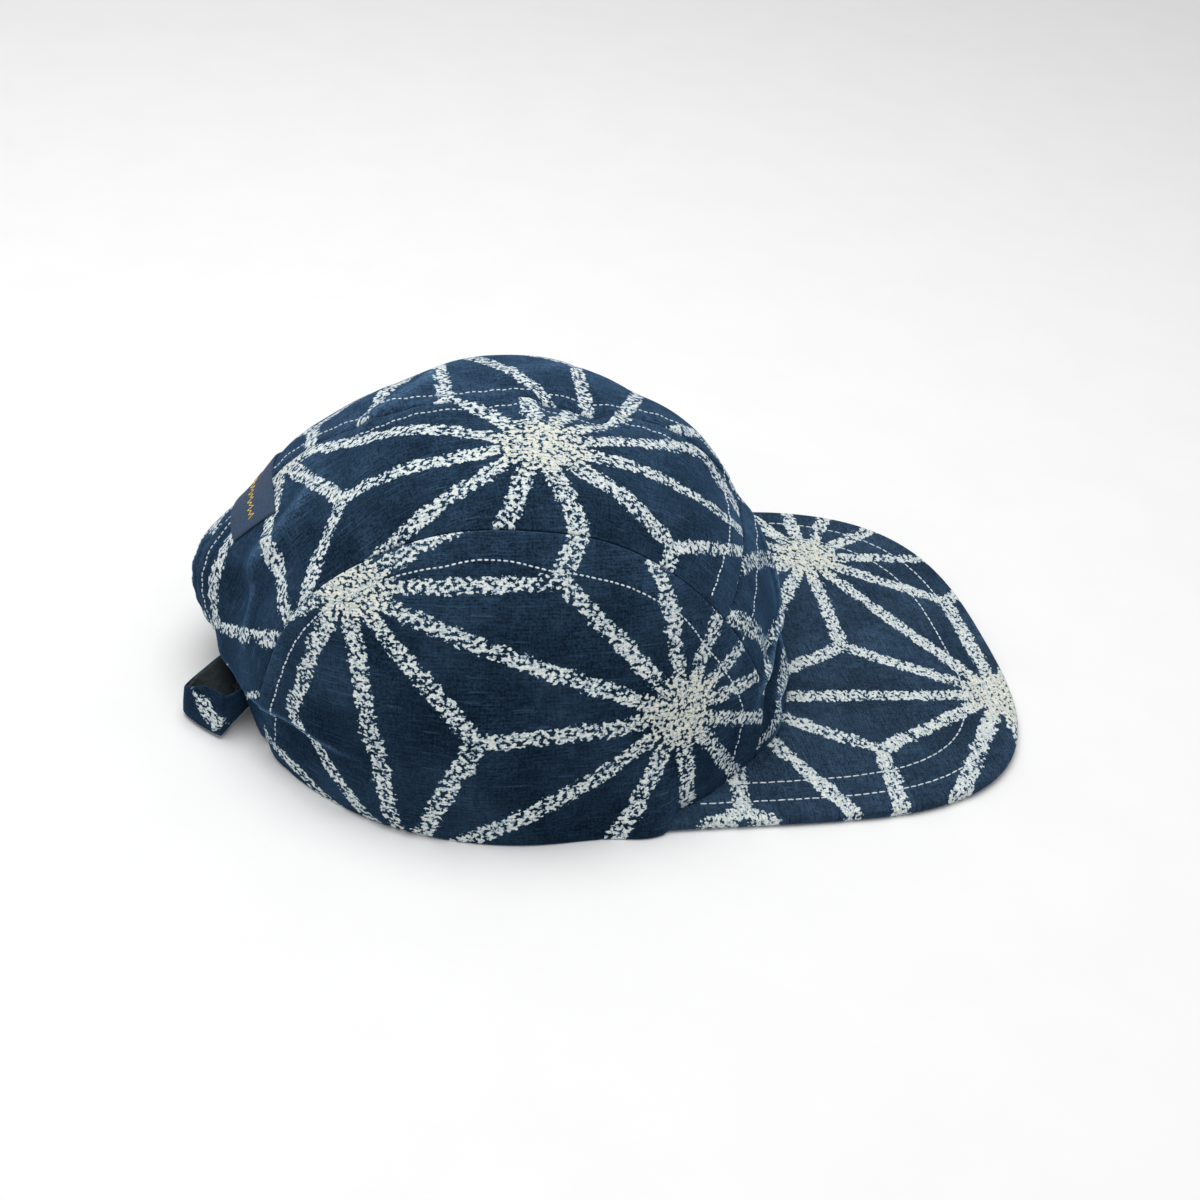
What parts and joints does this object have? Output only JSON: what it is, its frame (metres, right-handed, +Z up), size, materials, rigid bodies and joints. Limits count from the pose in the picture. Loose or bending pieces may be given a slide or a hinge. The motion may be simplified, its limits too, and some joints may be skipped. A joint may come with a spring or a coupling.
{
  "type": "five-panel cap",
  "caption": "Soft low cap with a hollow crown of sewn cloth panels, a flat brim in front, a rear opening closed by a cloth strap, and a plain woven label at the back.",
  "frame": {"origin": "on the resting surface, under the middle of the whole cap, brim and strap included", "axes": "+X forward out of the brim, +Y to the wearer's left, +Z up; the hem lies at Z = 0"},
  "size_m": [0.2848, 0.1792, 0.1091],
  "materials": {
    "printed_cloth": "indigo cotton with a slubby weave and a worn off-white hemp-leaf print",
    "label_cloth": "finely woven navy-grey label, with a plain row of gold thread"
  },
  "bodies": {
    "root": {"side_panel_right": "printed_cloth", "side_panel_left": "printed_cloth", "top_panel_right": "printed_cloth", "top_panel_left": "printed_cloth", "front_panel": "printed_cloth", "brim": "printed_cloth", "rear_strap": "printed_cloth", "back_label": "label_cloth"}
  },
  "joints": []
}
